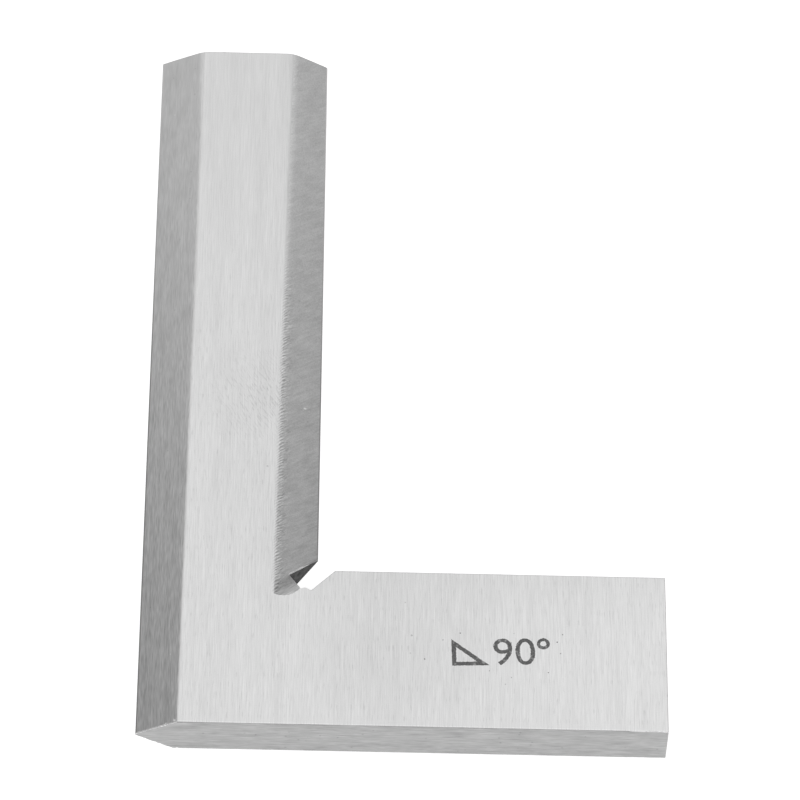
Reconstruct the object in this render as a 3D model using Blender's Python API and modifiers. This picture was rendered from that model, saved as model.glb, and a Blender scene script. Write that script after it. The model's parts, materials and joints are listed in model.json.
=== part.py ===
"""Knife-edge steel square, 80 x 50 mm: a blade bevelled to a knife edge along both sides, and a plain stock.

The square is ground from one flat piece of steel, so it is one solid with no joint in it. It lies flat: +X runs
along the stock, +Y along the blade and +Z out of the front face. The origin is on the back face, under the middle
of the square's box. Outlines are first worked out from the outer corner, where both outer edges meet.
"""

import math

import bmesh
import bpy
from mathutils import Vector

MM = 0.001

# Driving dimensions
BLADE_LENGTH = 80.0 * MM  # outer face of the stock to the tip of the blade
STOCK_LENGTH = 50.0 * MM  # outer knife edge to the end of the stock
THICKNESS = 4.7 * MM
BLADE_WIDTH = 16.85 * MM  # knife edge to knife edge
STOCK_WIDTH = 17.25 * MM
KNIFE_LAND = 0.25 * MM  # flat left on each knife edge, at mid-thickness

# The bevels are ground by hand from both faces and are a little wider at one end
OUTER_BEVEL_AT_BASE = 3.92 * MM
OUTER_BEVEL_AT_TIP = 4.25 * MM
OUTER_BEVEL_LESS_ON_BACK = 0.45 * MM  # the back's outer bevel is this much narrower
INNER_BEVEL_AT_BASE = 4.28 * MM
INNER_BEVEL_AT_TIP = 3.5 * MM

# Relief slot cut at 45 degrees into the inner corner, through the whole thickness
RELIEF_WIDTH = 3.03 * MM
RELIEF_DEPTH = 2.0 * MM  # from the corner where the inner edges would meet to the slot's end wall
RELIEF_SHIFT = 0.35 * MM  # the slot's middle passes this far to the blade's side of that corner

# Where the grinding wheel leaves the inner bevel, its rim cuts a round end into the face
RUNOUT_RADIUS = 2.03 * MM
RUNOUT_LEFT_OF_CORNER = 3.33 * MM
RUNOUT_BELOW_CORNER = 0.89 * MM
RUNOUT_END_ANGLE = math.radians(-35.0)
RUNOUT_START_ANGLE = math.radians(-114.5)
RUNOUT_STEPS = 14
RUNOUT_LIP = 0.1 * MM  # left of the slot's end wall, between the round end and the slot's corner

OVERSHOOT = 0.5 * MM  # cutters run past the faces that they cut
BEVEL_STATIONS = 9  # lengths that a bevel is lofted in, since its width changes
MERGE = 0.00001

STEEL_COLOUR = (0.62, 0.62, 0.61, 1.0)
STEEL_ROUGHNESS = 0.32

MID = THICKNESS / 2
BOX_CENTRE = Vector((STOCK_LENGTH / 2, BLADE_LENGTH / 2, 0.0))
INNER_CORNER = Vector((BLADE_WIDTH, STOCK_WIDTH, 0.0))
RELIEF_AXIS = Vector((1.0, 1.0, 0.0)).normalized()
RELIEF_ACROSS = Vector((1.0, -1.0, 0.0)).normalized()


def start_collections():
    """Empties the file of objects and adds one collection for the part and one for its cutters."""
    for old in list(bpy.data.objects):
        bpy.data.objects.remove(old, do_unlink=True)
    made = []
    for name in ("steel_square", "cutters"):
        collection = bpy.data.collections.new(name)
        bpy.context.scene.collection.children.link(collection)
        made.append(collection)
    return made


def steel():
    material = bpy.data.materials.new("ground_steel")
    material.use_nodes = True
    shader = material.node_tree.nodes["Principled BSDF"]
    shader.inputs["Base Color"].default_value = STEEL_COLOUR
    shader.inputs["Metallic"].default_value = 1.0
    shader.inputs["Roughness"].default_value = STEEL_ROUGHNESS
    return material


def bevel_width_outer(y):
    return OUTER_BEVEL_AT_BASE + (OUTER_BEVEL_AT_TIP - OUTER_BEVEL_AT_BASE) * y / BLADE_LENGTH


def bevel_width_outer_back(y):
    return bevel_width_outer(y) - OUTER_BEVEL_LESS_ON_BACK


def bevel_width_inner(y):
    return INNER_BEVEL_AT_BASE + (INNER_BEVEL_AT_TIP - INNER_BEVEL_AT_BASE) * y / BLADE_LENGTH


def relief_point(along, across):
    """A point in the slot: along its axis from the end wall, and across it towards the stock."""
    end_wall = INNER_CORNER - RELIEF_AXIS * RELIEF_DEPTH - RELIEF_ACROSS * RELIEF_SHIFT
    return end_wall + RELIEF_AXIS * along + RELIEF_ACROSS * across


def placed(name, mesh, collection):
    """An object whose own origin is at mid-thickness under the middle of the square's box."""
    made = bpy.data.objects.new(name, mesh)
    made.location = (0.0, 0.0, MID)
    collection.objects.link(made)
    return made


def hide(cutter):
    cutter.hide_render = True
    cutter.display_type = "WIRE"


def plate(name, outline, half_thickness, collection):
    """A flat plate of the outline, made as a filled 2D curve and turned into a welded mesh."""
    curve = bpy.data.curves.new(name, "CURVE")
    curve.dimensions = "2D"
    curve.fill_mode = "BOTH"
    curve.extrude = half_thickness
    spline = curve.splines.new("POLY")
    spline.points.add(len(outline) - 1)
    spline.use_cyclic_u = True
    for point, corner in zip(spline.points, outline):
        point.co = (*(corner - BOX_CENTRE).xy, 0.0, 1.0)
    drawn = bpy.data.objects.new(name + "_outline", curve)
    collection.objects.link(drawn)
    bpy.context.view_layer.update()
    mesh = bpy.data.meshes.new_from_object(drawn.evaluated_get(bpy.context.evaluated_depsgraph_get()))
    bpy.data.objects.remove(drawn)
    bpy.data.curves.remove(curve)
    mesh.name = name
    bm = bmesh.new()
    bm.from_mesh(mesh)
    bmesh.ops.remove_doubles(bm, verts=bm.verts, dist=MERGE)
    bmesh.ops.recalc_face_normals(bm, faces=bm.faces)
    bm.to_mesh(mesh)
    bm.free()
    return placed(name, mesh, collection)


def wedge(name, edge_x, inwards, forwards, width_at, collection):
    """Everything that a bevel takes away, lofted through sections from below the base to past the tip.

    A section is a triangle whose long side runs from the knife edge at edge_x out to the bevel's line on the face.
    inwards is +1 where the blade lies on the +X side of the edge, and -1 where it lies on the other side. forwards
    is +1 for a bevel of the front face, and -1 for one of the back face.
    """
    bm = bmesh.new()
    rings = []
    for station in range(BEVEL_STATIONS + 1):
        y = -OVERSHOOT + (BLADE_LENGTH + 2 * OVERSHOOT) * station / BEVEL_STATIONS
        width = width_at(y)
        slope = (MID - KNIFE_LAND / 2) / width
        past_line = edge_x + inwards * (width + OVERSHOOT / slope)
        past_edge = edge_x - inwards * OVERSHOOT
        top = MID + OVERSHOOT
        section = ((past_line, top), (past_edge, KNIFE_LAND / 2 - slope * OVERSHOOT), (past_edge, top))
        rings.append([bm.verts.new(Vector((x, y, forwards * z)) - BOX_CENTRE) for x, z in section])
    for lower, upper in zip(rings, rings[1:]):
        for corner in range(3):
            after = (corner + 1) % 3
            bm.faces.new((lower[corner], lower[after], upper[after], upper[corner]))
    bm.faces.new(rings[0])
    bm.faces.new(rings[-1])
    bmesh.ops.triangulate(bm, faces=bm.faces)
    bmesh.ops.recalc_face_normals(bm, faces=bm.faces)
    mesh = bpy.data.meshes.new(name)
    bm.to_mesh(mesh)
    bm.free()
    made = placed(name, mesh, collection)
    hide(made)
    return made


def boolean(target, operand, operation):
    step = target.modifiers.new(operand.name, "BOOLEAN")
    step.operation = operation
    step.solver = "EXACT"
    step.object = operand


def runout_outline():
    """What the inner bevel's wheel sweeps, seen from the front: the bevel strip, and its round lower end."""
    centre = INNER_CORNER - Vector((RUNOUT_LEFT_OF_CORNER, RUNOUT_BELOW_CORNER, 0.0))
    sweep = RUNOUT_END_ANGLE - RUNOUT_START_ANGLE
    round_end = []
    for step in range(RUNOUT_STEPS + 1):
        angle = RUNOUT_START_ANGLE + sweep * step / RUNOUT_STEPS
        round_end.append(centre + RUNOUT_RADIUS * Vector((math.cos(angle), math.sin(angle), 0.0)))
    past_lip = relief_point(RUNOUT_LIP, RELIEF_WIDTH / 2 - RUNOUT_LIP)
    past_slot = relief_point(BLADE_WIDTH, 0.0)
    above_tip = BLADE_LENGTH + OVERSHOOT
    line_above_tip = BLADE_WIDTH - bevel_width_inner(above_tip)
    return [
        *round_end,
        past_lip,
        past_slot,
        Vector((past_slot.x, above_tip, 0.0)),
        Vector((line_above_tip, above_tip, 0.0)),
    ]


def square_outline():
    return [
        Vector((0.0, 0.0, 0.0)),
        Vector((STOCK_LENGTH, 0.0, 0.0)),
        Vector((STOCK_LENGTH, STOCK_WIDTH, 0.0)),
        INNER_CORNER,
        Vector((BLADE_WIDTH, BLADE_LENGTH, 0.0)),
        Vector((0.0, BLADE_LENGTH, 0.0)),
    ]


def relief_outline():
    half = RELIEF_WIDTH / 2
    mouth = BLADE_WIDTH / 2
    return [
        relief_point(0.0, -half),
        relief_point(0.0, half),
        relief_point(mouth, half),
        relief_point(mouth, -half),
    ]


def main():
    parts, cutters = start_collections()

    body = plate("square_body", square_outline(), MID, parts)
    body.data.materials.clear()
    body.data.materials.append(steel())

    outer_front = wedge("outer_bevel_front_cutter", 0.0, 1.0, 1.0, bevel_width_outer, cutters)
    outer_back = wedge("outer_bevel_back_cutter", 0.0, 1.0, -1.0, bevel_width_outer_back, cutters)
    inner_plane = wedge("inner_bevel_plane", BLADE_WIDTH, -1.0, 1.0, bevel_width_inner, cutters)
    inner_bevel = plate("inner_bevel_cutter", runout_outline(), MID + OVERSHOOT, cutters)
    hide(inner_bevel)
    boolean(inner_bevel, inner_plane, "INTERSECT")
    relief = plate("relief_slot_cutter", relief_outline(), MID + OVERSHOOT, cutters)
    hide(relief)

    boolean(body, relief, "DIFFERENCE")
    boolean(body, inner_bevel, "DIFFERENCE")

    # Slot and inner bevel are cut in the front half, and the back half is its mirror image about mid-thickness
    mirror = body.modifiers.new("back_half", "MIRROR")
    mirror.use_axis = (False, False, True)
    mirror.use_bisect_axis = (False, False, True)
    mirror.bisect_threshold = MERGE
    mirror.merge_threshold = MERGE

    boolean(body, outer_front, "DIFFERENCE")
    boolean(body, outer_back, "DIFFERENCE")


main()
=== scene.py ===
"""Looks of the knife-edge steel square: one ground steel body with its etched mark, lying on a pale floor.

Shapes are worked out in millimetres from the outer corner, where the two outer edges meet: x runs along the
stock, y along the blade, and heights are counted from mid-thickness. The body's two faces share one sheet of
triangles.
"""

import json
import math
import random

import bpy
from mathutils import Matrix, Vector, noise
from mathutils.geometry import delaunay_2d_cdt

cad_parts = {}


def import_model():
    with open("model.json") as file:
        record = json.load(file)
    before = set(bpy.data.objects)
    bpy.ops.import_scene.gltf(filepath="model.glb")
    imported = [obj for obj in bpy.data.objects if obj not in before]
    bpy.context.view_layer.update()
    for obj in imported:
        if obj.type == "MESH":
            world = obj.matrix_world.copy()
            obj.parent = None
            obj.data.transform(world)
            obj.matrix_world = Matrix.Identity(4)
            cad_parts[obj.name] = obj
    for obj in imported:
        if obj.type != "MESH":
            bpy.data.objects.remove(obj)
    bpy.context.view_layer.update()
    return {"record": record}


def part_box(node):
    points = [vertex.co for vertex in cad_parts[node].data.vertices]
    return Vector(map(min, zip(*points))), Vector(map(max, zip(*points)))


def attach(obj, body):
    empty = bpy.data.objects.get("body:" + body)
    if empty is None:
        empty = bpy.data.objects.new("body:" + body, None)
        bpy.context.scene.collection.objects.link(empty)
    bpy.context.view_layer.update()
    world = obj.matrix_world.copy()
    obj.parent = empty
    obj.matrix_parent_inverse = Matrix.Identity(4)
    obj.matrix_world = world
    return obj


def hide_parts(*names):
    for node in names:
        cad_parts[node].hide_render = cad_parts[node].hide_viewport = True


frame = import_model()

MM = 0.001
LOW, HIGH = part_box("square_body")
MOUNTS = {mount["name"]: Vector(mount["pos_m"]) for mount in frame["record"]["mounts"]}

# Sizes that the frame gives
STOCK_LENGTH = (HIGH.x - LOW.x) / MM
BLADE_LENGTH = (HIGH.y - LOW.y) / MM
MID = (HIGH.z - LOW.z) / MM / 2
BLADE_WIDTH = (MOUNTS["inner_knife_edge"].x - LOW.x) / MM
STOCK_WIDTH = (MOUNTS["stock_inner_face"].y - LOW.y) / MM

# Bevels, relief slot and run-out, as on the CAD body
KNIFE_HALF = 0.125  # half the flat left on each knife edge
OUTER_BEVEL_AT_BASE = 3.92
OUTER_BEVEL_AT_TIP = 4.25
OUTER_BEVEL_LESS_ON_BACK = 0.45
INNER_BEVEL_AT_BASE = 4.28
INNER_BEVEL_AT_TIP = 3.5
RELIEF_WIDTH = 3.03
RELIEF_DEPTH = 2.0
RELIEF_SHIFT = 0.35
RUNOUT_RADIUS = 2.03
RUNOUT_LEFT_OF_CORNER = 3.33
RUNOUT_BELOW_CORNER = 0.89
RUNOUT_END_ANGLE = math.radians(-35.0)
RUNOUT_START_ANGLE = math.radians(-114.5)

# Fine form
EDGE_RADIUS = 0.05  # of the broken edges
KNIFE_RADIUS = 0.06  # of the knife edges
EDGE_TURNS = 3  # strips that an edge's rounding is made of
KNIFE_BAND = 0.12  # the knife edges' painted shade reaches this far in from the outline
EDGE_HIGHLIGHT_BAND = 0.13  # broken edges carry a painted highlight this wide
BASE_HIGHLIGHT_FROM = 46.0  # the painted highlight on the base's edge starts at this x, and is brightest from the next
BASE_HIGHLIGHT_TO = STOCK_LENGTH - 1
SLOT_HIGHLIGHT_FULL_TO = BLADE_WIDTH - 1.9  # the slot's edge has its full painted highlight up to this x, which fades out by the next
SLOT_HIGHLIGHT_GONE_FROM = BLADE_WIDTH - 0.7
LINE_SOFTNESS = 0.06  # of the bevels' lines, as a height
OUTER_TIP_SOFTNESS = 0.3  # of the outer line at the tip
INNER_TIP_SOFTNESS = 0.42  # of the inner line along the blade's last third
INNER_SOFT_FROM = 44.0  # the inner line starts to soften at this y
SOFT_FROM = 70.0  # the inner line is softest from this y, and the outer line starts to soften there
INNER_BOW = 0.05  # the inner line is bowed this much towards the outer one at mid-length
RIM_RUN = 0.1  # the run-out's rim falls this much sideways over its whole height
RIM_HIGHLIGHT = 0.06  # painted highlight: a bright strip on the face beside the rim
LIP_BULGE = 0.2  # metal left standing between the run-out and the slot's corner
FACET_RISE = 0.05  # the last stroke of the wheel left the run-out's floor this much flatter
BEVEL_CROWN = 0.03  # the bevels are ground slightly round
STROKE_ANGLE = math.radians(42.0)  # of the marks ground across the inner bevel
SCUFF_ANGLE = math.radians(-61.0)  # of a patch of scuffs on the blade's face
SCUFF_CENTRE = Vector((11.3, 37.2))
SCUFF_REACH = 8.0
DULL_CENTRE = Vector((24.0, 9.0))  # of a slightly duller patch on the stock
DULL_REACH = 13.0
SERRATION_DEPTH = 0.02
SERRATION_PITCH = 0.25
SERRATION_STEP = 0.08  # between the points that the serration is modelled with
SERRATION_BAND = 0.7  # width of the marks along the inner bevel's line
SERRATION_START = -0.2  # the ridges start this far before the line
SERRATION_TOP = 52.0  # the marks fade out around this y
SERRATION_FADE = 6.0  # half the length that the ridges fade out over
STROKE_FADE = 7.0  # the same, for their shading
SCRATCH_BAND = 1.25  # finer scratches among the marks reach this far

# Spacing of the points of the body's sheet
OUTLINE_STEP = 0.3
ROW_STEP = 0.5  # along the bevels' lines
CROWN_STEP = 1.0  # along the rows in the middle of the bevels
CROWN_SHARES = (0.2, 0.4, 0.6, 0.8)  # of a bevel's width
LINE_OFFSETS = (-0.35, -0.14, -0.05, 0.0, 0.05, 0.14, 0.35)  # of the rows beside the outer line
RIM_STEPS = 40
GRID_STEP = 2.5
NICK_RINGS = 3
SHARP_ANGLE = math.radians(35.0)  # the shading breaks at edges sharper than this


def bevel_outer(y):
    return OUTER_BEVEL_AT_BASE + (OUTER_BEVEL_AT_TIP - OUTER_BEVEL_AT_BASE) * y / BLADE_LENGTH


def bevel_outer_back(y):
    return bevel_outer(y) - OUTER_BEVEL_LESS_ON_BACK


def bevel_inner(y):
    straight = INNER_BEVEL_AT_BASE + (INNER_BEVEL_AT_TIP - INNER_BEVEL_AT_BASE) * y / BLADE_LENGTH
    return straight + INNER_BOW * math.sin(math.pi * y / BLADE_LENGTH) ** 2


def smooth_min(a, b, width):
    gap = max(width - abs(a - b), 0.0) / width
    return min(a, b) - gap * gap * width / 4


def smooth_step(value, start, end):
    t = min(max((value - start) / (end - start), 0.0), 1.0)
    return t * t * (3 - 2 * t)


# ---- Outline ----

DIAGONAL = Vector((1.0, 1.0)).normalized()
ACROSS = Vector((1.0, -1.0)).normalized()
INNER_CORNER = Vector((BLADE_WIDTH, STOCK_WIDTH))
RELIEF_END = INNER_CORNER - DIAGONAL * RELIEF_DEPTH - ACROSS * RELIEF_SHIFT


def relief_corners():
    """The slot's corners: on the stock's inner face, at both ends of its end wall, and on the knife edge."""
    stock_end = RELIEF_END + ACROSS * RELIEF_WIDTH / 2
    blade_end = RELIEF_END - ACROSS * RELIEF_WIDTH / 2
    stock_mouth = stock_end + Vector((1.0, 1.0)) * (STOCK_WIDTH - stock_end.y)
    blade_mouth = blade_end + Vector((1.0, 1.0)) * (BLADE_WIDTH - blade_end.x)
    return stock_mouth, stock_end, blade_end, blade_mouth


OUTER_CORNER = Vector((0.0, 0.0))
STOCK_FOOT = Vector((STOCK_LENGTH, 0.0))
STOCK_TOP = Vector((STOCK_LENGTH, STOCK_WIDTH))
SLOT_STOCK_MOUTH, SLOT_STOCK_END, SLOT_BLADE_END, SLOT_BLADE_MOUTH = relief_corners()
INNER_TIP = Vector((BLADE_WIDTH, BLADE_LENGTH))
OUTER_TIP = Vector((0.0, BLADE_LENGTH))

# The outline's corners, each with the side that starts there
OUTLINE = (
    (OUTER_CORNER, "base"),
    (STOCK_FOOT, "stock_end"),
    (STOCK_TOP, "stock_inner"),
    (SLOT_STOCK_MOUTH, "slot_stock"),
    (SLOT_STOCK_END, "slot_end"),
    (SLOT_BLADE_END, "slot_blade"),
    (SLOT_BLADE_MOUTH, "knife"),
    (INNER_TIP, "tip"),
    (OUTER_TIP, "knife"),
)
CORNERS = [corner for corner, side in OUTLINE]
SIDES = [side for corner, side in OUTLINE]
SIDE_RADII = [KNIFE_RADIUS if side == "knife" else EDGE_RADIUS for side in SIDES]


def inset(corners, distances):
    """The closed outline moved inwards, each side by its own distance, with mitred corners."""
    moved = []
    for i, corner in enumerate(corners):
        before = (corner - corners[i - 1]).normalized()
        after = (corners[(i + 1) % len(corners)] - corner).normalized()
        left_before = Vector((-before.y, before.x))
        left_after = Vector((-after.y, after.x))
        turn = before.x * after.y - before.y * after.x
        along = (distances[i] - distances[i - 1] * left_before.dot(left_after)) / turn
        moved.append(corner + left_before * distances[i - 1] + before * -along)
    return moved


def side_distance(point, index):
    """How far a point lies from one side of the outline, counted only alongside it."""
    start = CORNERS[index]
    along = CORNERS[(index + 1) % len(CORNERS)] - start
    share = min(max((point - start).dot(along) / along.length_squared, 0.0), 1.0)
    return (point - start - along * share).length


def inside(point, corners):
    """Even-odd test."""
    odd = False
    for i, a in enumerate(corners):
        b = corners[i - 1]
        if (a.y > point.y) != (b.y > point.y):
            if point.x < a.x + (b.x - a.x) * (point.y - a.y) / (b.y - a.y):
                odd = not odd
    return odd


def in_outline(point):
    return inside(point, CORNERS)


# ---- Run-out at the foot of the inner bevel ----

RUNOUT_CENTRE = INNER_CORNER - Vector((RUNOUT_LEFT_OF_CORNER, RUNOUT_BELOW_CORNER))


def on_runout(angle):
    return RUNOUT_CENTRE + RUNOUT_RADIUS * Vector((math.cos(angle), math.sin(angle)))


RIM_START = on_runout(RUNOUT_START_ANGLE)
RIM_TURN = on_runout(RUNOUT_END_ANGLE)
RIM_END = SLOT_STOCK_END


def rim_y(x):
    """The rim of the run-out, as y over x: the wheel's arc, then the bulging lip by the slot's corner."""
    if x <= RIM_TURN.x:
        reach = max(RUNOUT_RADIUS**2 - (x - RUNOUT_CENTRE.x) ** 2, 0.0)
        return RUNOUT_CENTRE.y - math.sqrt(reach)
    share = min((x - RIM_TURN.x) / (RIM_END.x - RIM_TURN.x), 1.0)
    return RIM_TURN.y + (RIM_END.y - RIM_TURN.y) * share + LIP_BULGE * math.sin(math.pi * share) ** 2


def rim_slope(x):
    step = 0.01
    return (rim_y(x + step) - rim_y(x - step)) / (2 * step)


def depth_inside_rim(x, y):
    """Distance from the rim, positive in the run-out, taken square to the rim."""
    if x - y > RIM_END.x - RIM_END.y:
        return -1.0  # across the slot, on the stock
    if x < RIM_START.x:
        return (Vector((x, y)) - RIM_START).length if y > RIM_START.y else -1.0
    return (y - rim_y(x)) / math.hypot(1.0, rim_slope(x))


# ---- Heights ----

class Nick:
    """A small chip or dent: metal missing round a point of one face."""

    def __init__(self, x, y, radius, depth):
        self.centre = Vector((x, y))
        self.radius = radius
        self.depth = depth

    def drop(self, point):
        reach = (point - self.centre).length / self.radius
        return self.depth * (1 - smooth_step(reach, 0.2, 1.0)) if reach < 1 else 0.0


# The strokes beside the inner bevel's line are sine ridges, which two slower waves push about. Each wave has
# its push in radians, then its radians a millimetre along the strokes and across them.
STROKE_WAVES = ((1.6, 0.9, 1.3), (1.2, -1.7, 4.1))


def serration(x, y, inward):
    """Ridges that the wheel left along the inner bevel's line; inward is the distance from that line."""
    if not SERRATION_START < inward < SERRATION_BAND:
        return 0.0
    strength = smooth_step(inward, SERRATION_BAND, 0.1)
    strength *= smooth_step(y, SERRATION_TOP + SERRATION_FADE, SERRATION_TOP - SERRATION_FADE)
    across = y * math.cos(STROKE_ANGLE) - x * math.sin(STROKE_ANGLE)
    along = x * math.cos(STROKE_ANGLE) + y * math.sin(STROKE_ANGLE)
    phase = math.tau * across / SERRATION_PITCH
    for push, run, rise in STROKE_WAVES:
        phase += push * math.sin(run * along + rise * across)
    return SERRATION_DEPTH * strength * math.sin(phase)


def bevel_rise(share):
    """Height of a bevel at a share of its width from the knife edge."""
    crown = 4 * BEVEL_CROWN * share * (1 - share) if share < 1 else 0.0
    return KNIFE_HALF + (MID - KNIFE_HALF) * share + crown


def ground_height(x, y, outer_width):
    """Half the body's thickness, before its outline's edges are broken."""
    softness = LINE_SOFTNESS + (OUTER_TIP_SOFTNESS - LINE_SOFTNESS) * smooth_step(y, SOFT_FROM, BLADE_LENGTH)
    height = smooth_min(MID, bevel_rise(x / outer_width(y)), softness)
    inward = x - (BLADE_WIDTH - bevel_inner(y))
    depth = depth_inside_rim(x, y)
    if depth < 0 or inward < -1:
        return height
    floor = bevel_rise((BLADE_WIDTH - x) / bevel_inner(y))
    below_diagonal = (Vector((x, y)) - RIM_START).dot(ACROSS)
    floor += FACET_RISE * max(below_diagonal, 0.0)
    floor += serration(x, y, inward)
    softening = smooth_step(y, INNER_SOFT_FROM, SOFT_FROM)
    softness = LINE_SOFTNESS + (INNER_TIP_SOFTNESS - LINE_SOFTNESS) * softening
    floor = smooth_min(MID, floor, softness)
    if below_diagonal > 0:
        floor = MID + (floor - MID) * min(depth / RIM_RUN, 1.0)
    return min(height, floor)


def edge_drop(point):
    drop = 0.0
    for index, radius in enumerate(SIDE_RADII):
        short = radius - side_distance(point, index)
        if short > 0:
            drop = max(drop, radius - math.sqrt(max(radius**2 - short**2, 0.0)))
    return drop


def surface_height(point, nicks, outer_width):
    height = ground_height(point.x, point.y, outer_width) - edge_drop(point)
    for nick in nicks:
        height -= nick.drop(point)
    return height


# ---- The sheet of triangles that both faces share ----

def polygon(centre, radius, sides):
    angles = [math.tau * turn / sides for turn in range(sides)]
    return [centre + radius * Vector((math.cos(angle), math.sin(angle))) for angle in angles]


def spaced(points, step):
    """The open polyline with points no further apart than step."""
    dense = [points[0]]
    for start, end in zip(points, points[1:]):
        pieces = max(1, math.ceil((end - start).length / step))
        dense.extend(start.lerp(end, i / pieces) for i in range(1, pieces + 1))
    return dense


def outline_rings():
    """The outline, and rings inside it where its edge's rounding bends and where the edge's painted
    highlight, on the knife edges its painted shade, ends.
    """
    band = inset(CORNERS, [KNIFE_BAND if side == "knife" else EDGE_HIGHLIGHT_BAND for side in SIDES])
    rings = [spaced(band + band[:1], OUTLINE_STEP)]
    for turn in range(EDGE_TURNS + 1):
        share = 1 - math.cos(math.pi / 2 * turn / EDGE_TURNS)
        ring = inset(CORNERS, [radius * share for radius in SIDE_RADII])
        rings.append(spaced(ring + ring[:1], OUTLINE_STEP))
    return rings


def inner_row(offset, low, high, step):
    """Points from low to high beside the inner bevel's line, which is slightly bowed."""
    count = math.ceil((high - low) / step)
    heights = [low + (high - low) * i / count for i in range(count + 1)]
    return [Vector((BLADE_WIDTH - bevel_inner(y) + offset, y)) for y in heights]


def bevel_lines():
    """Rows beside the bevels' lines, close together where the surface turns."""
    lines = []
    for outer_width in (bevel_outer, bevel_outer_back):
        for offset in LINE_OFFSETS:
            ends = [Vector((outer_width(y) + offset, y)) for y in (0.0, BLADE_LENGTH)]
            lines.append(spaced(ends, ROW_STEP))
    fade = SERRATION_TOP + SERRATION_FADE
    for offset in (-0.5, -0.3):
        lines.append(inner_row(offset, RIM_START.y, BLADE_LENGTH, ROW_STEP))
    rows = math.ceil(SERRATION_BAND / SERRATION_STEP)
    for index in range(-2, rows + 1):
        offset = index * SERRATION_STEP
        foot = RIM_START.y
        if offset > 0:
            foot = rim_y(RIM_START.x + offset) + RIM_RUN
        serrated = inner_row(offset, foot, fade, SERRATION_STEP)
        plain = inner_row(offset, fade, BLADE_LENGTH, ROW_STEP)
        lines.append(serrated + plain[1:])
    for share in CROWN_SHARES:
        outer = [Vector((bevel_outer(y) * share, y)) for y in (0.0, BLADE_LENGTH)]
        inner = [Vector((BLADE_WIDTH - bevel_inner(y) * share, y)) for y in (STOCK_WIDTH, BLADE_LENGTH)]
        lines.append(spaced(outer, CROWN_STEP))
        lines.append([point for point in spaced(inner, CROWN_STEP) if in_outline(point)])
    return lines


def runout_lines():
    """Rows along the rim, the foot of its wall, and the diagonal where the floor turns flatter."""
    lines = []
    for rise in (-RIM_HIGHLIGHT, 0.0, RIM_RUN, 0.2):
        row = []
        for step in range(RIM_STEPS + 1):
            x = RIM_START.x + (RIM_END.x - RIM_START.x) * step / RIM_STEPS
            row.append(Vector((x, rim_y(x) + rise * math.hypot(1.0, rim_slope(x)))))
        lines.append([point for point in row if in_outline(point)])
    lines.append(spaced([RIM_START, RIM_START + DIAGONAL * 2.8], 0.1))
    return lines


def loose_points(nicks):
    """A coarse grid, so that no triangle is long, and rings round each nick."""
    points = []
    for column in range(1, round(STOCK_LENGTH / GRID_STEP)):
        for row in range(1, round(BLADE_LENGTH / GRID_STEP)):
            points.append(Vector((column * GRID_STEP, row * GRID_STEP)))
    for nick in nicks:
        points.append(nick.centre)
        for ring in range(1, NICK_RINGS + 1):
            points += polygon(nick.centre, nick.radius * ring / NICK_RINGS, ring * 6)
    return [point for point in points if in_outline(point)]


def triangulated(lines, points, is_inside):
    """Triangles over the area that is_inside accepts, with every line kept as edges."""
    coords = []
    edges = []
    for line in lines:
        first = len(coords)
        coords.extend(line)
        edges.extend((i, i + 1) for i in range(first, first + len(line) - 1))
    coords.extend(points)
    verts, _, faces, *_ = delaunay_2d_cdt(coords, edges, [], 0, 1e-4)
    kept = []
    for face in faces:
        centre = sum((verts[i] for i in face), Vector((0.0, 0.0))) / len(face)
        if is_inside(centre):
            kept.append(tuple(face))
    return verts, kept


def border(faces):
    """The sheet's outer edges, each with the sheet on its left."""
    pairs = set()
    for face in faces:
        for i, start in enumerate(face):
            pairs.add((start, face[(i + 1) % len(face)]))
    return sorted((start, end) for start, end in pairs if (end, start) not in pairs)


def world(point, height):
    return Vector((LOW.x + point.x * MM, LOW.y + point.y * MM, LOW.z + (MID + height) * MM))


def thick_mesh(name, points, sheet, tops, bottoms):
    """A closed mesh: the sheet at its top heights, the same turned over at its bottom heights, and walls."""
    count = len(points)
    coords = [world(point, height) for point, height in zip(points, tops)]
    coords += [world(point, height) for point, height in zip(points, bottoms)]
    faces = list(sheet)
    faces += [tuple(i + count for i in reversed(face)) for face in sheet]
    faces += [(end, start, start + count, end + count) for start, end in border(sheet)]
    mesh = bpy.data.meshes.new(name)
    mesh.from_pydata(coords, [], faces)
    return mesh


def nicks_along(start, end, count, radii, depths, seed):
    """Seeded nicks scattered along a line."""
    draw = random.Random(seed)
    made = []
    for _ in range(count):
        place = start.lerp(end, draw.random())
        made.append(Nick(place.x, place.y, draw.uniform(*radii), draw.uniform(*depths)))
    return made


def face_nicks(seed):
    """Nicks of one face: deeper ones at the foot of the outer bevel, small ones along the other edges."""
    line_foot = Vector((bevel_outer(0.0), 0.0))
    small = (0.08, 0.16)
    shallow = (0.01, 0.03)
    made = nicks_along(OUTER_CORNER, line_foot, 9, (0.1, 0.22), (0.03, 0.07), seed)
    made += nicks_along(OUTER_CORNER, STOCK_FOOT, 14, small, shallow, seed + 1)
    made += nicks_along(STOCK_FOOT, STOCK_TOP, 6, small, shallow, seed + 2)
    made += nicks_along(STOCK_TOP, SLOT_STOCK_MOUTH, 8, small, shallow, seed + 3)
    made += nicks_along(INNER_TIP, OUTER_TIP, 6, small, shallow, seed + 4)
    return made


WALL_FINISH = {
    "base": "side",
    "stock_inner": "side",
    "stock_end": "end",
    "tip": "end",
    "slot_stock": "slot",
    "slot_end": "slot",
    "slot_blade": "slot",
    "knife": "knife",
}

# Places where the steel is chipped, each with a painted glint: two on the base's edge and one on the inner
# bevel
GLINTING_CHIPS = (
    Nick(2.9, 0.12, 0.22, 0.04),
    Nick(3.74, 0.32, 0.2, 0.03),
    Nick(15.28, 36.9, 0.2, 0.004),
)
GLINT_SHARE = 0.6  # a chip's painted glint covers this share of its radius


def nearest_side(point):
    return min(range(len(SIDES)), key=lambda index: side_distance(point, index))


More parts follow.
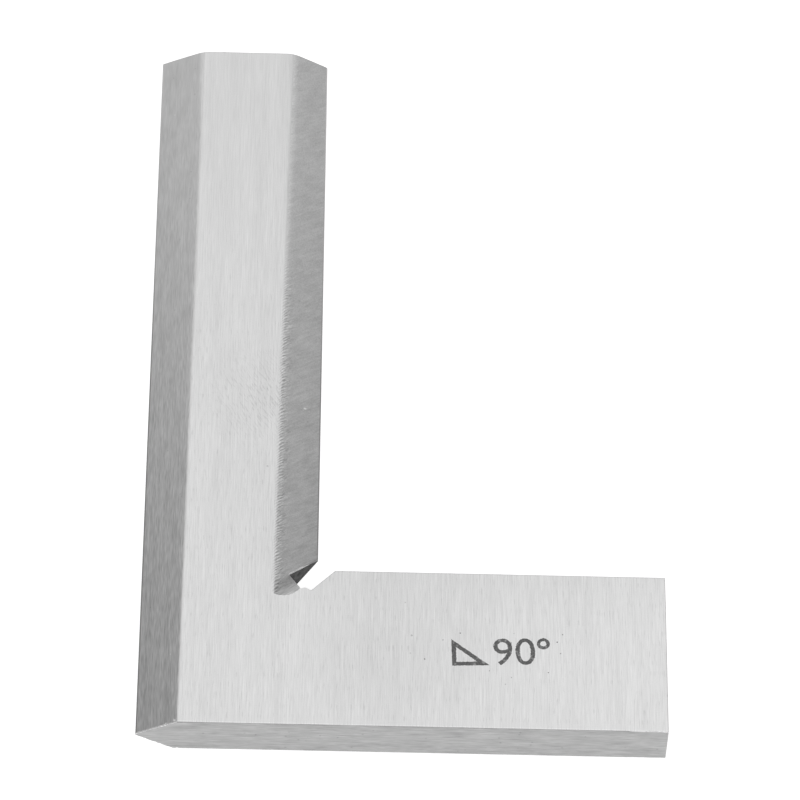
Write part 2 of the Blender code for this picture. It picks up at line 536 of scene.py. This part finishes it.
def highlight_width(side, point, outer_width):
    """How wide the painted highlight on a side's broken edge is at a point."""
    if side == "slot_blade":
        return EDGE_HIGHLIGHT_BAND * smooth_step(point.x, SLOT_HIGHLIGHT_GONE_FROM, SLOT_HIGHLIGHT_FULL_TO)
    if side != "base":
        return 0.0
    if point.x < outer_width(point.y):
        return EDGE_HIGHLIGHT_BAND
    return EDGE_HIGHLIGHT_BAND * smooth_step(point.x, BASE_HIGHLIGHT_FROM, BASE_HIGHLIGHT_TO)


def region(point, outer_width, chips):
    """Which finish a face of the body has at a point."""
    for chip in chips:
        # painted glint on the chips
        if (point - chip.centre).length < chip.radius * GLINT_SHARE:
            return "edge"
    index = nearest_side(point)
    side = SIDES[index]
    distance = side_distance(point, index)
    # painted shade along the knife edges
    if side == "knife" and distance < KNIFE_BAND:
        return "knife"
    # painted highlight along the broken edges
    if distance < highlight_width(side, point, outer_width):
        return "edge"
    if distance < EDGE_RADIUS:
        return "end" if side == "tip" else "side"
    if point.x < outer_width(point.y):
        return "outer_bevel"
    inward = point.x - (BLADE_WIDTH - bevel_inner(point.y))
    depth = depth_inside_rim(point.x, point.y)
    if inward < 0 or point.x > BLADE_WIDTH or depth < 0:
        # the strip beside the run-out's rim gets the painted highlight
        return "edge" if inward > 0 and -RIM_HIGHLIGHT < depth < 0 else "face"
    return "runout" if (point - RIM_START).dot(ACROSS) > 0 and point.y < STOCK_WIDTH else "inner_bevel"


def build_body():
    front_nicks = face_nicks(1) + list(GLINTING_CHIPS)
    back_nicks = face_nicks(21)
    lines = outline_rings() + bevel_lines() + runout_lines()
    points, sheet = triangulated(lines, loose_points(front_nicks + back_nicks), in_outline)
    tops = [surface_height(point, front_nicks, bevel_outer) for point in points]
    bottoms = [-surface_height(point, back_nicks, bevel_outer_back) for point in points]
    mesh = thick_mesh("steel_body", points, sheet, tops, bottoms)
    centres = [sum((points[i] for i in face), Vector((0.0, 0.0))) / 3 for face in sheet]
    regions = [region(centre, bevel_outer, GLINTING_CHIPS) for centre in centres]
    regions += [region(centre, bevel_outer_back, ()) for centre in centres]
    for start, end in border(sheet):
        side = SIDES[nearest_side((points[start] + points[end]) / 2)]
        regions.append(WALL_FINISH[side])
    for finish in FINISHES.values():
        mesh.materials.append(finish())
    order = list(FINISHES)
    for face, name in zip(mesh.polygons, regions):
        face.material_index = order.index(name)
    mesh.shade_smooth()
    mesh.set_sharp_from_angle(angle=SHARP_ANGLE)
    for wall in mesh.polygons[2 * len(sheet):]:
        wall.use_smooth = False
    body = bpy.data.objects.new("steel_body", mesh)
    bpy.context.scene.collection.objects.link(body)
    weighted = body.modifiers.new("weighted_normals", "WEIGHTED_NORMAL")
    weighted.keep_sharp = True
    return body


# ---- The etched mark: a triangle and its right angle in degrees ----

MARK_CENTRE = Vector((34.3, 8.5))
MARK_TURN = math.radians(2.0)
MARK_HEIGHT = 2.95
TRIANGLE_WIDTH = 3.5
TRIANGLE_STROKE = 0.408
MARK_GAP = 0.45  # between the triangle and the digits
DEGREE_GAP = 0.2
DEGREE_RADIUS = 0.62
DEGREE_STROKE = 0.3264
DEGREE_TURNS = 24
DIGIT_BOLDNESS = 0.034  # each outline is moved out by this share of the text's size
MARK_RISE = 0.004  # above the face
MARK_SINK = 0.02  # below it
MARK_STEP = 0.07
MARK_ROUGHNESS = 0.05
ROUGHNESS_SIZE = 1 / 9  # of the bumps along its outlines
MARK_DOTS = 12
DOT_TURNS = 6
MARK_SEED = 5


def digit_loops(text, height):
    """Closed outlines of a text's digits, with its lower left corner at the origin."""
    curve = bpy.data.curves.new("digits", "FONT")
    curve.body = text
    curve.fill_mode = "NONE"
    curve.offset = DIGIT_BOLDNESS
    drawn = bpy.data.objects.new("digits", curve)
    bpy.context.scene.collection.objects.link(drawn)
    bpy.context.view_layer.update()
    outline = bpy.data.meshes.new_from_object(drawn.evaluated_get(bpy.context.evaluated_depsgraph_get()))
    bpy.data.objects.remove(drawn)
    bpy.data.curves.remove(curve)
    corners = [vertex.co.xy for vertex in outline.vertices]
    low_x = min(corner.x for corner in corners)
    low_y = min(corner.y for corner in corners)
    scale = height / (max(corner.y for corner in corners) - low_y)
    neighbours = {}
    for edge in outline.edges:
        for start, end in (edge.vertices, reversed(edge.vertices)):
            neighbours.setdefault(start, []).append(end)
    loops = []
    while neighbours:
        start = min(neighbours)
        loop = [start]
        while True:
            onward = [i for i in neighbours.pop(loop[-1]) if i in neighbours]
            if not onward:
                break
            loop.append(onward[0])
        loops.append([(corners[i] - Vector((low_x, low_y))) * scale for i in loop])
    bpy.data.meshes.remove(outline)
    return loops


def set_square_loops():
    """A right-angled triangle with a triangular window, as a drawing square has."""
    corners = [Vector((0.0, 0.0)), Vector((TRIANGLE_WIDTH, 0.0)), Vector((0.0, MARK_HEIGHT))]
    return [corners, inset(corners, [TRIANGLE_STROKE] * 3)]


def stray_dots(width):
    """Specks that the marking laser left round its mark."""
    draw = random.Random(MARK_SEED)
    loops = []
    for _ in range(MARK_DOTS):
        centre = Vector((draw.uniform(-3.0, width + 1.5), draw.uniform(-2.2, MARK_HEIGHT + 1.2)))
        loops.append(polygon(centre, draw.uniform(0.04, 0.07), DOT_TURNS))
    return loops


def roughened(loop):
    """The loop with close points, each pushed aside a little, as an etched edge is."""
    dense = spaced(loop + loop[:1], MARK_STEP)[:-1]
    rough = []
    for point in dense:
        push = noise.noise_vector(Vector((point.x, point.y, 0.0)) / ROUGHNESS_SIZE)
        rough.append(point + Vector((push.x, push.y)) * MARK_ROUGHNESS)
    return rough


def build_mark():
    noise.seed_set(MARK_SEED)  # or else Blender seeds it with the time
    start = Vector((TRIANGLE_WIDTH + MARK_GAP, 0.0))
    digits = [[point + start for point in loop] for loop in digit_loops("90", MARK_HEIGHT)]
    digits_end = max(point.x for loop in digits for point in loop)
    centre = Vector((digits_end + DEGREE_GAP + DEGREE_RADIUS, MARK_HEIGHT - DEGREE_RADIUS))
    radii = (DEGREE_RADIUS, DEGREE_RADIUS - DEGREE_STROKE)
    degree = [polygon(centre, radius, DEGREE_TURNS) for radius in radii]
    drawn = set_square_loops() + digits + degree
    width = centre.x + DEGREE_RADIUS
    turn = Matrix.Rotation(MARK_TURN, 2)
    middle = Vector((width, MARK_HEIGHT)) / 2
    loops = []
    for loop in drawn + stray_dots(width):
        loops.append([MARK_CENTRE + turn @ (point - middle) for point in roughened(loop)])
    points, sheet = triangulated(
        [loop + loop[:1] for loop in loops],
        [],
        lambda point: sum(inside(point, loop) for loop in loops) % 2 == 1,
    )
    tops = [MID + MARK_RISE] * len(points)
    bottoms = [MID - MARK_SINK] * len(points)
    mesh = thick_mesh("angle_mark", points, sheet, tops, bottoms)
    mesh.materials.append(etched_finish())
    mark = bpy.data.objects.new("angle_mark", mesh)
    bpy.context.scene.collection.objects.link(mark)
    return mark


# ---- Materials ----

# A finish is a grey level and the tones that it is raised or lowered by, as shares of that level

class Shader:
    """A Principled material whose nodes are added one call at a time."""

    def __init__(self, name, roughness, metallic=1.0):
        self.material = bpy.data.materials.new(name)
        self.material.use_nodes = True
        self.tree = self.material.node_tree
        self.principled = self.tree.nodes["Principled BSDF"]
        self.principled.inputs["Roughness"].default_value = roughness
        self.principled.inputs["Metallic"].default_value = metallic
        self.place = self.node("ShaderNodeTexCoord").outputs["Object"]

    def node(self, kind, **settings):
        made = self.tree.nodes.new(kind)
        for key, value in settings.items():
            setattr(made, key, value)
        return made

    def link(self, output, target):
        self.tree.links.new(output, target)

    def turned(self, angle, scale):
        """Object coordinates turned about Z, then stretched: scale is given in features per metre."""
        turn = self.node("ShaderNodeMapping")
        turn.inputs["Rotation"].default_value = (0.0, 0.0, angle)
        self.link(self.place, turn.inputs["Vector"])
        stretch = self.node("ShaderNodeMapping")
        stretch.inputs["Scale"].default_value = scale
        self.link(turn.outputs["Vector"], stretch.inputs["Vector"])
        return stretch.outputs["Vector"]

    def noise(self, angle, size, detail=2.0):
        """Noise with features of the given size in millimetres along the turned axes."""
        scale = [1 / (length * MM) for length in size]
        made = self.node("ShaderNodeTexNoise")
        made.inputs["Scale"].default_value = 1.0
        made.inputs["Detail"].default_value = detail
        self.link(self.turned(angle, scale), made.inputs["Vector"])
        return made.outputs["Fac"]

    def ranged(self, value, low, high, to_low=0.0, to_high=1.0, smooth=False):
        made = self.node("ShaderNodeMapRange", interpolation_type="SMOOTHSTEP" if smooth else "LINEAR")
        made.inputs["From Min"].default_value = low
        made.inputs["From Max"].default_value = high
        made.inputs["To Min"].default_value = to_low
        made.inputs["To Max"].default_value = to_high
        self.link(value, made.inputs["Value"])
        return made.outputs["Result"]

    def swing(self, noise_value, reach):
        """A tone from -reach to reach, from noise that mostly lies between 0.3 and 0.7."""
        return self.ranged(noise_value, 0.3, 0.7, -reach, reach)

    def math(self, operation, *values):
        made = self.node("ShaderNodeMath", operation=operation)
        for value, socket in zip(values, made.inputs):
            if isinstance(value, (int, float)):
                socket.default_value = value
            else:
                self.link(value, socket)
        return made.outputs["Value"]

    def add(self, first, second):
        return self.math("ADD", first, second)

    def multiply(self, first, second):
        return self.math("MULTIPLY", first, second)

    def spots(self, cell, radius, share):
        """1 in small round spots, one in the given share of cells of that size in millimetres."""
        made = self.node("ShaderNodeTexVoronoi")
        made.inputs["Scale"].default_value = 1 / (cell * MM)
        self.link(self.place, made.inputs["Vector"])
        near = self.ranged(made.outputs["Distance"], radius / cell, radius / cell * 0.6, smooth=True)
        split = self.node("ShaderNodeSeparateColor")
        self.link(made.outputs["Color"], split.inputs["Color"])
        chosen = self.ranged(split.outputs["Red"], share, share * 0.98)
        return self.multiply(near, chosen)

    def beyond(self, start, end):
        """How far a point lies past the line from start to end, in millimetres, towards +X."""
        here = world(start, 0.0)
        along = (world(end, 0.0) - here).normalized()
        across = Vector((along.y, -along.x, 0.0)) / MM
        made = self.node("ShaderNodeVectorMath", operation="DOT_PRODUCT")
        self.link(self.place, made.inputs[0])
        made.inputs[1].default_value = across
        return self.math("SUBTRACT", made.outputs["Value"], across.dot(here))

    def coordinate(self, axis):
        split = self.node("ShaderNodeSeparateXYZ")
        self.link(self.place, split.inputs["Vector"])
        return split.outputs[axis]

    def lengthwise(self):
        """0 at the base and 1 at the tip."""
        return self.ranged(self.coordinate("Y"), LOW.y, HIGH.y)

    def outward(self):
        """How far a point lies past the outer bevel's line, in millimetres, towards the inner bevel."""
        middle = LOW.z + MID * MM
        on_back = self.ranged(self.coordinate("Z"), middle, middle - 0.1 * MM)
        return self.add(self.beyond(*OUTER_LINE), self.multiply(on_back, OUTER_BEVEL_LESS_ON_BACK))

    def inward(self):
        """How far a point lies past the inner bevel's bowed line, in millimetres, towards the knife edge."""
        wave = self.math("SINE", self.multiply(self.lengthwise(), math.pi))
        bow = self.multiply(self.multiply(wave, wave), INNER_BOW)
        return self.add(self.beyond(*INNER_LINE), bow)

    def patch(self, centre, reach):
        """1 at a point and 0 beyond reach millimetres from it."""
        made = self.node("ShaderNodeVectorMath", operation="DISTANCE")
        self.link(self.place, made.inputs[0])
        made.inputs[1].default_value = world(centre, MID)
        return self.ranged(made.outputs["Value"], reach * MM, 0.0, smooth=True)

    def stripe(self, distance, low, high):
        """1 where the distance is between low and high, with soft edges."""
        middle = (low + high) / 2
        half = (high - low) / 2
        away = self.math("ABSOLUTE", self.math("SUBTRACT", distance, middle))
        return self.ranged(away, half * 1.3, half * 0.5, smooth=True)

    def strokes(self):
        """From -1 to 1, the ridges that serration() models."""
        turned = self.turned(-STROKE_ANGLE, (1 / MM, 1 / MM, 1 / MM))
        corner = Matrix.Rotation(-STROKE_ANGLE, 2) @ Vector((LOW.x, LOW.y)) / MM
        split = self.node("ShaderNodeSeparateXYZ")
        self.link(turned, split.inputs["Vector"])
        along = self.math("SUBTRACT", split.outputs["X"], corner.x)
        across = self.math("SUBTRACT", split.outputs["Y"], corner.y)
        phase = self.multiply(across, math.tau / SERRATION_PITCH)
        for push, run, rise in STROKE_WAVES:
            wave = self.add(self.multiply(along, run), self.multiply(across, rise))
            phase = self.add(phase, self.multiply(self.math("SINE", wave), push))
        return self.math("SINE", phase)

    def stroke_band(self, width):
        """1 beside the inner bevel's line and up to mid-length, 0 elsewhere, with ragged soft edges."""
        rag = self.swing(self.noise(-STROKE_ANGLE, (1.0, 0.3, 1.0)), 0.25)
        inward = self.add(self.inward(), rag)
        band = self.ranged(inward, width, width * 0.2, smooth=True)
        height = self.multiply(self.lengthwise(), BLADE_LENGTH)
        below_top = self.ranged(height, SERRATION_TOP + STROKE_FADE, SERRATION_TOP - STROKE_FADE, smooth=True)
        return self.multiply(band, self.multiply(below_top, self.above_rim()))

    def above_rim(self):
        """0 on the stock, where the inner bevel's line has ended, and 1 along the blade."""
        height = self.multiply(self.lengthwise(), BLADE_LENGTH)
        return self.ranged(height, RIM_START.y, RIM_START.y + 0.2)

    def scratches(self, width):
        """From -1 to 1, fine scratches along the strokes, in a ragged band beside the inner bevel's line."""
        fine = self.swing(self.noise(-STROKE_ANGLE, (0.6, 0.075, 0.5), 1.0), 1.0)
        return self.multiply(fine, self.stroke_band(width))

    def near(self, distance, reach):
        """1 on a line whose distance is given, and 0 beyond reach from it."""
        return self.ranged(self.math("ABSOLUTE", distance), reach, 0.0)

    def tinted(self, level, *tones):
        """Grey of the given level times one plus the tones."""
        total = 1.0
        for tone in tones:
            total = self.add(tone, total)
        made = self.node("ShaderNodeCombineColor")
        for channel in ("Red", "Green", "Blue"):
            self.link(self.multiply(total, level), made.inputs[channel])
        self.link(made.outputs["Color"], self.principled.inputs["Base Color"])

    def bumped(self, height, depth):
        """Relief of the given depth in millimetres for a height from 0 to 1."""
        made = self.node("ShaderNodeBump")
        made.inputs["Strength"].default_value = 1.0
        made.inputs["Distance"].default_value = depth * MM
        self.link(height, made.inputs["Height"])
        self.link(made.outputs["Normal"], self.principled.inputs["Normal"])


OUTER_LINE = (Vector((OUTER_BEVEL_AT_BASE, 0.0)), Vector((OUTER_BEVEL_AT_TIP, BLADE_LENGTH)))
INNER_LINE = (
    Vector((BLADE_WIDTH - INNER_BEVEL_AT_BASE, 0.0)),
    Vector((BLADE_WIDTH - INNER_BEVEL_AT_TIP, BLADE_LENGTH)),
)


def face_finish():
    """Ground land and stock: fine streaks along the blade, a few pits and a patch of diagonal scuffs."""
    shader = Shader("ground_face", 0.36)
    lengthwise = shader.lengthwise()
    fine = shader.noise(0.0, (0.12, 5.0, 5.0), 3.0)
    hair = shader.noise(0.0, (0.06, 2.2, 4.0), 1.0)
    grain = shader.noise(0.0, (0.1, 0.14, 0.1), 1.0)
    broad = shader.noise(0.0, (1.1, 18.0, 18.0))
    streaks = shader.add(
        shader.swing(fine, 0.055),
        shader.swing(hair, 0.055),
    )
    pits = shader.multiply(shader.spots(2.8, 0.13, 0.4), shader.ranged(lengthwise, 0.7, 0.2))
    scuff_noise = shader.noise(-SCUFF_ANGLE, (0.9, 0.15, 4.0), 2.0)
    scuffs = shader.multiply(
        shader.ranged(scuff_noise, 0.52, 0.64, smooth=True),
        shader.patch(SCUFF_CENTRE, SCUFF_REACH),
    )
    scratches = shader.multiply(
        shader.ranged(shader.noise(0.0, (0.09, 1.1, 4.0), 0.0), 0.66, 0.78, smooth=True),
        shader.ranged(lengthwise, 0.9, 0.5),
    )
    inward = shader.inward()
    outward = shader.outward()
    height = shader.multiply(lengthwise, BLADE_LENGTH)
    notches = shader.multiply(
        shader.multiply(shader.strokes(), shader.stroke_band(SERRATION_BAND)),
        shader.ranged(inward, -0.3, -0.02),
    )
    # darker beside the inner bevel's line towards the tip
    dark_by_tip_line = shader.multiply(shader.near(inward, 0.6), shader.ranged(lengthwise, 0.4, 0.8))
    # painted highlight along the face beside the base's broken edge
    foot = shader.multiply(shader.stripe(height, EDGE_RADIUS, 0.2), shader.ranged(fine, 0.35, 0.6))
    # stock_end rises towards the stock's end, for painted light
    stock_end = shader.ranged(shader.beyond(STOCK_FOOT, STOCK_TOP), -20.0, 0.0)
    blade_side = shader.multiply(
        shader.multiply(shader.ranged(inward, -5.0, 0.0), shader.ranged(lengthwise, 0.6, 0.4)),
        shader.ranged(height, 12.0, 18.0),
    )
    shader.tinted(
        0.747,
        shader.multiply(streaks, shader.ranged(lengthwise, 0.3, 1.0, 1.0, 0.65)),
        shader.swing(grain, 0.02),
        shader.swing(broad, 0.025),
        # painted shade and light: darker towards the tip, lighter towards the stock's end
        shader.ranged(lengthwise, 0.2, 1.0, 0.01, -0.04),
        shader.multiply(stock_end, 0.04),
        shader.multiply(blade_side, -0.05),
        shader.multiply(shader.patch(DULL_CENTRE, DULL_REACH), -0.05),
        shader.multiply(shader.multiply(shader.near(inward, 0.22), shader.above_rim()), -0.13),
        shader.multiply(dark_by_tip_line, -0.08),
        shader.multiply(shader.near(outward, 0.18), -0.2),
        # painted highlight beside the base's edge
        shader.multiply(foot, 0.12),
        shader.multiply(pits, -0.3),
        shader.multiply(scuffs, -0.14),
        shader.multiply(scratches, -0.1),
        shader.multiply(notches, 0.1),
    )
    shader.bumped(fine, 0.0015)
    return shader.material


def outer_bevel_finish():
    """Bevel ground along the blade, a little pitted, and spotted with painted glints."""
    shader = Shader("ground_outer_bevel", 0.38)
    lengthwise = shader.lengthwise()
    fine = shader.noise(0.0, (0.14, 5.0, 5.0), 3.0)
    hair = shader.noise(0.0, (0.07, 1.2, 1.2), 1.0)
    blotch = shader.noise(0.0, (0.8, 3.0, 3.0))
    pits = shader.spots(1.1, 0.1, 0.6)
    # painted highlight: small bright glints
    painted_glints = shader.spots(2.2, 0.07, 0.5)
    streaks = shader.add(
        shader.swing(fine, 0.09),
        shader.swing(hair, 0.16),
    )
    shader.tinted(
        0.59,
        shader.multiply(streaks, shader.ranged(lengthwise, 0.3, 1.0, 1.0, 0.3)),
        # painted shade: darker towards the base
        shader.ranged(lengthwise, 0.0, 0.5, -0.025, 0.02),
        shader.swing(blotch, 0.045),
        shader.multiply(pits, -0.16),
        shader.multiply(painted_glints, 0.3),
        shader.multiply(shader.near(shader.outward(), 0.5), 0.06),
    )
    shader.bumped(fine, 0.0015)
    return shader.material


def inner_bevel_finish():
    """Bevel ground across by hand: faint marks rising from its line, and strokes beside the line."""
    shader = Shader("ground_inner_bevel", 0.38)
    marks = shader.noise(-STROKE_ANGLE, (1.6, 0.2, 1.2), 3.0)
    haze = shader.noise(-STROKE_ANGLE, (2.0, 0.9, 1.5), 2.0)
    speckle = shader.noise(0.0, (0.14, 0.14, 0.14), 2.0)
    pits = shader.spots(1.1, 0.11, 0.5)
    # painted highlight: small bright glints
    painted_glints = shader.spots(2.4, 0.08, 0.4)
    strokes = shader.multiply(shader.strokes(), shader.stroke_band(SERRATION_BAND))
    inward = shader.inward()
    lengthwise = shader.lengthwise()
    facet_line = shader.beyond(RIM_START, RIM_START + DIAGONAL)
    edge_side = shader.multiply(shader.ranged(inward, 1.5, 4.0), shader.ranged(lengthwise, 0.9, 0.5))
    shoulder = shader.multiply(shader.near(inward, 0.6), shader.ranged(lengthwise, 0.55, 0.75, 0.24, 0.03))
    tip_shoulder = shader.multiply(shader.near(inward, 1.5), shader.ranged(lengthwise, 0.55, 0.75, 0.0, 0.07))
    shader.tinted(
        0.537,
        shader.multiply(
            shader.swing(marks, 0.09),
            shader.ranged(lengthwise, 0.4, 1.0, 1.0, 0.5),
        ),
        shader.swing(haze, 0.06),
        shader.swing(speckle, 0.1),
        shader.multiply(edge_side, -0.05),
        shoulder,
        tip_shoulder,
        shader.multiply(shader.stripe(facet_line, -0.9, 0.0), -0.2),
        shader.multiply(pits, -0.14),
        shader.multiply(painted_glints, 0.35),
        shader.multiply(strokes, 0.16),
        shader.multiply(shader.scratches(SCRATCH_BAND), 0.32),
    )
    shader.bumped(marks, 0.003)
    return shader.material


def runout_finish():
    """Flatter facet at the foot of the inner bevel, brighter towards the rim."""
    shader = Shader("runout_facet", 0.4)
    marks = shader.noise(-math.radians(45.0), (2.2, 0.12, 0.6), 3.0)
    lower = shader.beyond(RIM_START, RIM_START + DIAGONAL)
    shader.tinted(
        0.58,
        shader.swing(marks, 0.22),
        shader.ranged(lower, 0.0, 1.0, -0.14, 0.24),
    )
    shader.bumped(marks, 0.004)
    return shader.material


def side_finish():
    """Narrow faces of the stock, ground along it."""
    shader = Shader("ground_side", 0.4)
    fine = shader.noise(0.0, (3.2, 0.2, 0.14), 3.0)
    hair = shader.noise(0.0, (1.0, 0.1, 0.09), 1.0)
    blotch = shader.noise(0.0, (3.0, 2.0, 0.8))
    pits = shader.spots(1.0, 0.13, 0.45)
    height = shader.coordinate("Z")
    shader.tinted(
        # painted shade: the sides' level is set low; the last tone makes them darker towards the top face
        0.415,
        shader.swing(fine, 0.16),
        shader.swing(hair, 0.1),
        shader.swing(blotch, 0.08),
        shader.multiply(pits, -0.2),
        shader.ranged(height, HIGH.z - 1.5 * MM, HIGH.z, 0.0, -0.05),
    )
    shader.bumped(fine, 0.002)
    return shader.material


def end_finish():
    """Sawn and ground ends of the blade and the stock."""
    shader = Shader("ground_end", 0.4)
    fine = shader.noise(0.0, (0.9, 0.9, 0.12), 3.0)
    shader.tinted(0.48, shader.swing(fine, 0.1))
    shader.bumped(fine, 0.003)
    return shader.material


def slot_shade_finish():
    """Walls of the relief slot, left as the cutter tore them, and painted nearly black as the shade inside
    the slot.
    """
    shader = Shader("cut_slot_shade", 0.5)
    torn = shader.noise(0.0, (0.4, 0.4, 0.5), 5.0)
    pits = shader.spots(0.45, 0.12, 0.5)
    # painted shade: the slot's walls are nearly black
    shader.tinted(0.045, shader.ranged(torn, 0.35, 0.65, -0.8, 0.8), shader.multiply(pits, -0.5))
    shader.bumped(torn, 0.02)
    return shader.material


def knife_shade_finish():
    """The lapped knife edges, painted darker than the bevels beside them as shade, less so near the tip."""
    shader = Shader("lapped_knife_edge_shade", 0.3)
    fine = shader.noise(0.0, (0.1, 0.8, 0.1))
    shader.tinted(
        # painted shade: a dark grey, lightened towards the tip
        0.3,
        shader.swing(fine, 0.1),
        shader.ranged(shader.lengthwise(), 0.5, 1.0, 0.0, 1.2),
    )
    return shader.material


def edge_highlight_finish():
    """Painted highlight: bright broken edges, chips and the strip beside the run-out's rim."""
    shader = Shader("painted_edge_highlight", 0.35)
    fine = shader.noise(0.0, (0.25, 0.25, 0.25), 3.0)
    # painted highlight: a pale grey that varies only a little
    shader.tinted(0.85, shader.ranged(fine, 0.3, 0.7, -0.25, 0.15))
    return shader.material


def etched_finish():
    """Grey oxide of the laser's mark, paler where it didn't take."""
    shader = Shader("etched_grey", 0.6)
    grain = shader.noise(0.0, (0.12, 0.12, 0.12), 3.0)
    faint = shader.noise(0.0, (0.45, 0.45, 0.45), 2.0)
    shader.tinted(
        0.18,
        shader.ranged(grain, 0.35, 0.7, -0.3, 0.4),
        shader.ranged(faint, 0.55, 0.72, 0.0, 1.3, smooth=True),
    )
    shader.bumped(grain, 0.004)
    return shader.material


FINISHES = {
    "face": face_finish,
    "outer_bevel": outer_bevel_finish,
    "inner_bevel": inner_bevel_finish,
    "runout": runout_finish,
    "side": side_finish,
    "end": end_finish,
    "slot": slot_shade_finish,
    "knife": knife_shade_finish,
    "edge": edge_highlight_finish,
}


# ---- Floor, light and camera ----

FLOOR_REACH = 6.0  # metres
FLOOR_GAP = 0.02 * MM  # below the square
BACKDROP_RADIUS = 3.5  # metres


def build_floor():
    mesh = bpy.data.meshes.new("floor")
    corners = [Vector((x, y, 0.0)) for x, y in ((-1, -1), (1, -1), (1, 1), (-1, 1))]
    height = Vector((0.0, 0.0, LOW.z - FLOOR_GAP))
    mesh.from_pydata([corner * FLOOR_REACH + height for corner in corners], [], [(0, 1, 2, 3)])
    shader = Shader("pale_floor", 0.9, metallic=0.0)
    shader.principled.inputs["Base Color"].default_value = (0.6, 0.6, 0.6, 1.0)
    shader.principled.inputs["Emission Color"].default_value = (1.0, 1.0, 1.0, 1.0)
    shader.principled.inputs["Emission Strength"].default_value = 0.78
    mesh.materials.append(shader.material)
    floor = bpy.data.objects.new("floor", mesh)
    bpy.context.scene.collection.objects.link(floor)


def build_backdrop():
    """A pale dome behind everything, which only the camera sees, so that it adds no light."""
    bpy.ops.mesh.primitive_uv_sphere_add(radius=BACKDROP_RADIUS, location=(0.0, 0.0, LOW.z))
    backdrop = bpy.context.object
    backdrop.name = "backdrop"
    shader = Shader("pale_backdrop", 0.9, metallic=0.0)
    shader.principled.inputs["Emission Color"].default_value = (1.0, 1.0, 1.0, 1.0)
    shader.principled.inputs["Emission Strength"].default_value = 1.0
    shader.material.cycles.emission_sampling = "NONE"
    backdrop.data.materials.append(shader.material)
    backdrop.visible_diffuse = False
    backdrop.visible_glossy = False
    backdrop.visible_transmission = False
    backdrop.visible_volume_scatter = False
    backdrop.visible_shadow = False


def direction(azimuth, elevation):
    """From the object outwards: azimuth 0 is in front of the base and turns towards the stock's end."""
    return Vector((
        math.sin(azimuth) * math.cos(elevation),
        -math.cos(azimuth) * math.cos(elevation),
        math.sin(elevation),
    ))


def build_softbox(name, azimuth, elevation, distance, size, power, aim=Vector((0.0, 0.0, 0.0))):
    """A square area light that faces a point: angles in degrees, metres and watts."""
    away = direction(math.radians(azimuth), math.radians(elevation))
    light = bpy.data.lights.new(name, "AREA")
    light.shape = "SQUARE"
    light.size = size
    light.energy = power
    made = bpy.data.objects.new(name, light)
    made.location = aim + away * distance
    made.rotation_euler = (-away).to_track_quat("-Z", "Y").to_euler()
    bpy.context.scene.collection.objects.link(made)


def build_world(level):
    world_light = bpy.data.worlds.new("studio")
    world_light.use_nodes = True
    background = world_light.node_tree.nodes["Background"]
    background.inputs["Color"].default_value = (level, level, level, 1.0)
    bpy.context.scene.world = world_light


CAMERA_AZIMUTH = math.radians(-1.78)
CAMERA_ELEVATION = math.radians(55.12)
CAMERA_ROLL = math.radians(2.71)
CAMERA_DISTANCE = 534.3 * MM
CAMERA_LENS = 246.6
CAMERA_SENSOR = 36.0
AIM_FROM_CENTRE = Vector((-0.48, -2.74)) * MM


def build_camera():
    centre = (LOW + HIGH) / 2
    aim = Vector((centre.x + AIM_FROM_CENTRE.x, centre.y + AIM_FROM_CENTRE.y, HIGH.z))
    away = direction(CAMERA_AZIMUTH, CAMERA_ELEVATION)
    level = (-away).to_track_quat("-Z", "Y").to_matrix()
    turned = level @ Matrix.Rotation(CAMERA_ROLL, 3, "Z")
    data = bpy.data.cameras.new("camera")
    data.lens = CAMERA_LENS
    data.sensor_width = CAMERA_SENSOR
    data.clip_start = 0.01
    data.clip_end = 100.0
    camera = bpy.data.objects.new("camera", data)
    camera.matrix_world = Matrix.Translation(aim + away * CAMERA_DISTANCE) @ turned.to_4x4()
    bpy.context.scene.collection.objects.link(camera)
    bpy.context.scene.camera = camera


body = build_body()
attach(body, "root")
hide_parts("square_body")

mark = build_mark()
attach(mark, "root")

build_floor()
build_backdrop()
build_world(0.4)
build_softbox("back", 180, 55, distance=1.2, size=1.6, power=3.4)
build_softbox("top", 180, 85, distance=1.2, size=1.6, power=1.5)
build_softbox("front", 0, 40, distance=1.4, size=1.0, power=3.0)

# Two small lights brighten the bevels towards the tip
tip = Vector((0.0, HIGH.y, HIGH.z))
build_softbox("left", 225, 26, distance=0.17, size=0.12, power=0.014, aim=tip)
build_softbox("right", 135, 26, distance=0.2, size=0.14, power=0.02, aim=tip)
build_camera()
bpy.context.scene.view_settings.view_transform = "Standard"
